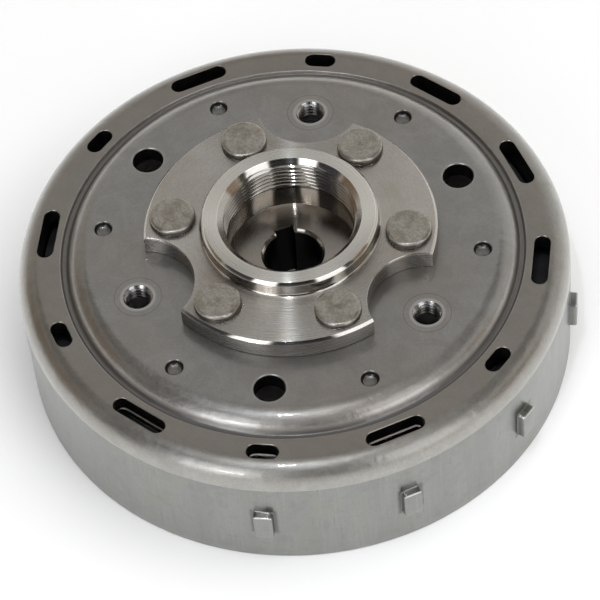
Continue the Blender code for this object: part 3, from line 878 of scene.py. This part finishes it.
# ---- rivets ------------------------------------------------------------------------------
def build_rivet(index, finish):
    """A head a little out of round and dished, as struck by hand tooling."""
    seed = np.random.default_rng(40 + index)
    phase, lobes = seed.uniform(0.0, 2.0 * math.pi, 2)
    tail_top = DISC_Z - SHELL_T - 0.02
    path = rounded([(0.0, RIVET_TOP - 0.10, 0, 1), (1.6, RIVET_TOP - 0.04, 1.0, 3),
                    (RIVET_R - 1.6, RIVET_TOP, 2.0, 4), (RIVET_R - 0.10, RIVET_TOP - 0.12, 0.95, 9),
                    (RIVET_R, FLANGE_Z + 0.02, 0.25, 3), (4.0, FLANGE_Z + 0.02, 0, 1),
                    (4.0, tail_top, 0, 1), (RIVET_R - 0.3, tail_top, 0.3, 3),
                    (RIVET_R - 0.4, RIVET_TAIL_Z + 0.9, 0.5, 3),
                    (RIVET_R - 1.9, RIVET_TAIL_Z, 0.8, 5), (0.0, RIVET_TAIL_Z + 0.05, 0, 1)],
                   closed=False)

    def wobble(angles, radius, z):
        rim = min(radius / RIVET_R, 1.0) ** 3
        return -0.05 * rim * (1.0 + 0.6 * np.cos(2 * angles + phase) + 0.4 * np.cos(3 * angles + lobes))

    rivet = new_object(f"rivet_head_{index}", lathe(f"rivet_head_{index}", path, 72, False, wobble))
    low, high = mm_box(f"rivet_{index}")
    centre = (low + high) / 2.0
    rivet.data.transform(Matrix.Translation(Vector((centre.x, centre.y, 0.0)) * MM))
    rivet.data.materials.append(finish)
    shade(rivet, 40.0)
    return rivet


# ---- magnets, cage and sleeve --------------------------------------------------------------
def arc_block(inner, outer, heights, degrees, chamfer, steps=14):
    """Vertices and faces of an arc of rectangular section with broken edges."""
    section = rounded([(inner, heights[1], chamfer, 3), (outer, heights[1], chamfer, 3),
                       (outer, heights[0], chamfer, 3), (inner, heights[0], chamfer, 3)])
    half = math.radians(degrees / 2.0)
    centre = np.array([(inner + outer) / 2.0, (heights[0] + heights[1]) / 2.0])
    inset = chamfer / outer
    stations = [(-half, 0.82 * chamfer), (-half + inset, 0.0)]
    stations += [(a, 0.0) for a in np.linspace(-half + inset, half - inset, steps)[1:-1]]
    stations += [(half - inset, 0.0), (half, 0.82 * chamfer)]
    verts = []
    for a, shrink in stations:
        for r, z in section:
            away = np.array([r, z]) - centre
            scale = 1.0 - shrink / np.abs(away).max()
            r2, z2 = centre + away * scale
            verts.append((r2 * math.cos(a), r2 * math.sin(a), z2))
    columns = len(section)
    faces = []
    for j in range(len(stations) - 1):
        for i in range(columns):
            k = (i + 1) % columns
            faces.append((j * columns + i, j * columns + k,
                          (j + 1) * columns + k, (j + 1) * columns + i))
    faces.append(tuple(reversed(range(columns))))
    top = (len(stations) - 1) * columns
    faces.append(tuple(range(top, top + columns)))
    return verts, faces


def build_magnet(index, finish):
    verts, faces = arc_block(MAGNET_IN_R, MAGNET_OUT_R, MAGNET_Z, MAGNET_ANGLE, 0.5)
    body = Body()
    body.add(verts, faces, out_at((index - 0.5) * 360.0 / MAGNET_COUNT))
    magnet = new_object(f"arc_magnet_{index}", body.mesh(f"arc_magnet_{index}"))
    magnet.data.materials.append(finish)
    shade(magnet, 25.0)
    return magnet


def build_cage(finish):
    section = rounded([(MAGNET_IN_R, CAGE_Z[1], 0.3, 3), (MAGNET_OUT_R, CAGE_Z[1], 0.3, 3),
                       (MAGNET_OUT_R, CAGE_Z[0], 0.3, 3), (MAGNET_IN_R, CAGE_Z[0], 0.3, 3)])
    cage = new_object("cage", lathe("cage", section))
    windows = Body()
    heights = (MAGNET_Z[0] - 0.1, MAGNET_Z[1] + 0.1)
    verts, faces = arc_block(MAGNET_IN_R - 2.0, MAGNET_OUT_R + 2.0, heights, MAGNET_ANGLE + 0.4, 0.6)
    for index in range(MAGNET_COUNT):
        windows.add(verts, faces, out_at((index + 0.5) * 360.0 / MAGNET_COUNT))
    boolean(cage, windows.mesh("windows"), "DIFFERENCE")
    cage.data.materials.clear()
    cage.data.materials.append(finish)
    shade(cage, 30.0)
    return cage


def build_sleeve(finish):
    """Pressed sleeve with rolled lips."""
    outer, thick = MAGNET_IN_R - 0.25, 0.6
    low, high = SLEEVE_Z
    path = rounded([(outer - thick, high, 0.9, 6), (outer + 1.4, high, 0.2, 3),
                    (outer + 1.4, high - thick, 0.2, 3), (outer, high - thick, 0.3, 4),
                    (outer, low + thick, 0.3, 4), (MAGNET_OUT_R, low + thick, 0.2, 3),
                    (MAGNET_OUT_R, low, 0.2, 3), (outer - thick, low, 0.9, 6)])
    sleeve = new_object("sleeve", lathe("sleeve", path))
    sleeve.data.materials.append(finish)
    shade(sleeve, 30.0)
    return sleeve


# ---- studio ----------------------------------------------------------------------------------
CAMERA_AZIMUTH = 11.26
CAMERA_ELEVATION = 52.66
CAMERA_ROLL = -5.865
CAMERA_DISTANCE_MM = 875.8
CAMERA_LENS_RATIO = 5.251                # focal length over image width
TARGET_ALONG = -19.11                    # aim point, towards the camera side
TARGET_ACROSS = 0.58

# Room brightness by height, as (share of the way up to overhead, grey).
ROOM_GREYS = ((0.0, 0.95), (0.25, 0.80), (0.42, 0.70), (0.56, 0.56), (0.80, 0.36), (1.0, 0.33))
# Panels: lowest and highest azimuth from the camera's, lowest and highest elevation,
# radiance, and the width of the soft edge, in degrees. Later panels cover earlier ones.
PANELS = (
    (-90.0, 82.0, 8.0, 66.0, (0.62, 0.60, 0.56), 16.0),
    (-152.0, -84.0, 42.0, 66.0, (0.05, 0.04, 0.03), 8.0),
    (70.0, 145.0, 42.0, 66.0, (0.09, 0.083, 0.075), 8.0),
    (-165.0, -130.0, 6.0, 40.0, (0.42, 0.40, 0.36), 10.0),
    (90.0, 165.0, 6.0, 40.0, (0.66, 0.65, 0.62), 10.0),
    (-190.0, -170.0, 14.0, 44.0, (0.20, 0.19, 0.18), 8.0),
    (-190.0, -170.0, 60.0, 88.0, (0.20, 0.19, 0.18), 8.0),
    (-132.0, -86.0, 6.0, 38.0, (0.20, 0.145, 0.09), 8.0),
    (70.0, 92.0, 8.0, 30.0, (0.26, 0.18, 0.105), 6.0),
    (-84.0, -48.0, 12.0, 60.0, (0.045, 0.045, 0.055), 6.0),
    (57.0, 70.0, 12.0, 60.0, (0.07, 0.065, 0.06), 5.0),
    (-48.0, -23.0, 12.0, 50.0, (2.3, 2.34, 2.42), 4.0),
    (24.0, 57.0, 14.0, 54.0, (1.7, 1.72, 1.75), 4.0),
    (-21.0, 22.0, 18.0, 60.0, (0.012, 0.012, 0.014), 4.0),
)


def aim_direction(azimuth, elevation):
    a, e = math.radians(azimuth), math.radians(elevation)
    return Vector((math.sin(a) * math.cos(e), -math.cos(a) * math.cos(e), math.sin(e)))


def build_camera():
    data = bpy.data.cameras.new("camera")
    data.sensor_width = 36.0
    data.lens = data.sensor_width * CAMERA_LENS_RATIO
    data.clip_start, data.clip_end = 0.05, 20.0
    camera = new_object("camera", data)
    turn = Matrix.Rotation(math.radians(CAMERA_AZIMUTH), 4, "Z")
    target = turn @ Vector((TARGET_ACROSS, TARGET_ALONG, CROWN_Z)) * MM
    back = aim_direction(CAMERA_AZIMUTH, CAMERA_ELEVATION)
    roll = Matrix.Rotation(math.radians(CAMERA_ROLL), 4, "Z")
    look = (-back).to_track_quat("-Z", "Y").to_matrix().to_4x4()
    camera.matrix_world = Matrix.Translation(target + back * CAMERA_DISTANCE_MM * MM) @ look @ roll
    bpy.context.scene.camera = camera


def area_light(name, azimuth, elevation, distance, size, watts):
    """Rectangular light that faces the origin, with its azimuth from the camera's."""
    data = bpy.data.lights.new(name, "AREA")
    data.shape = "RECTANGLE"
    data.size, data.size_y = size
    data.energy = watts
    light = new_object(name, data)
    back = aim_direction(CAMERA_AZIMUTH + azimuth, elevation)
    light.location = back * distance
    light.rotation_mode = "QUATERNION"
    light.rotation_quaternion = back.to_track_quat("Z", "Y")
    return light


def build_world():
    """Pale room that darkens upwards, with bright, dark and brown panels in it."""
    world = bpy.data.worlds.new("studio")
    bpy.context.scene.world = world
    world.use_nodes = True
    g = Graph(world.node_tree)
    background = g.tree.nodes["Background"]
    coords = g.node("ShaderNodeTexCoord")
    split = g.node("ShaderNodeSeparateXYZ")
    g.link(coords.outputs["Generated"], split.inputs[0])
    x, y, z = split.outputs
    to_degrees = 180.0 / math.pi
    azimuth = g.math("MULTIPLY", g.math("ARCTAN2", x, g.math("MULTIPLY", y, -1.0)), to_degrees)
    azimuth = g.math("SUBTRACT", azimuth, CAMERA_AZIMUTH)
    elevation = g.math("MULTIPLY", g.math("ARCSINE", z), to_degrees)

    ramp = g.node("ShaderNodeValToRGB")
    g.link(g.math("DIVIDE", elevation, 90.0), ramp.inputs[0])
    stops = ramp.color_ramp.elements
    stops[0].position, stops[1].position = 0.0, 1.0
    for position in ROOM_GREYS[1:-1]:
        stops.new(position[0])
    for stop, (position, grey) in zip(stops, ROOM_GREYS):
        stop.position = position
        stop.color = (grey, grey * 0.99, grey * 0.97, 1.0)
    colour = ramp.outputs[0]

    def panel(az_low, az_high, el_low, el_high, radiance, soft):
        mask = g.math("MULTIPLY", g.between(azimuth, az_low, az_high, soft),
                      g.between(elevation, el_low, el_high, soft))
        return g.mix(mask, colour, radiance)

    for settings in PANELS:
        colour = panel(*settings)
    g.link(colour, background.inputs["Color"])


def build_stage():
    bm = bmesh.new()
    bmesh.ops.create_circle(bm, cap_ends=True, segments=96, radius=4.0)
    mesh = bpy.data.meshes.new("floor")
    bm.to_mesh(mesh)
    bm.free()
    floor = new_object("floor", mesh)
    floor.location.z = -0.0002
    mat = bpy.data.materials.new("pale_floor")
    mat.use_nodes = True
    shader = mat.node_tree.nodes["Principled BSDF"]
    shader.inputs["Base Color"].default_value = (0.9, 0.9, 0.9, 1.0)
    shader.inputs["Roughness"].default_value = 0.7
    mesh.materials.append(mat)


def main():
    finishes = {make.__name__: make() for make in (
        drawn_steel, wall_steel, shaded_punched_steel, thread_steel, turned_steel, bored_steel, rivet_steel,
        magnet_ferrite, cage_nylon, sleeve_stainless)}

    def keep(piece, node):
        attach(piece, "root")
        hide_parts(node)

    keep(build_cup(finishes), "rotor_shell")
    keep(build_hub(finishes["turned_steel"], finishes["bored_steel"]), "hub")
    for index in range(1, 7):
        keep(build_rivet(index, finishes["rivet_steel"]), f"rivet_{index}")
    for index in range(1, MAGNET_COUNT + 1):
        keep(build_magnet(index, finishes["magnet_ferrite"]), f"magnet_{index}")
    keep(build_cage(finishes["cage_nylon"]), "magnet_cage")
    keep(build_sleeve(finishes["sleeve_stainless"]), "magnet_sleeve")

    build_stage()
    build_world()
    build_camera()
    area_light("overhead", 5.0, 84.0, 1.25, (0.50, 0.30), 0.35)
    lamp = area_light("lamp", -17.0, 73.6, 1.1, (0.025, 0.05), 1.25)
    lamp.data.color = (0.84, 0.92, 1.0)
    area_light("window", -31.0, 28.0, 1.2, (0.17, 0.08), 0.55)
    fill = area_light("floor_fill", 50.0, 72.0, 1.5, (1.6, 1.6), 19.0)
    fill.visible_glossy = False
    bpy.context.scene.view_settings.view_transform = "Standard"


main()
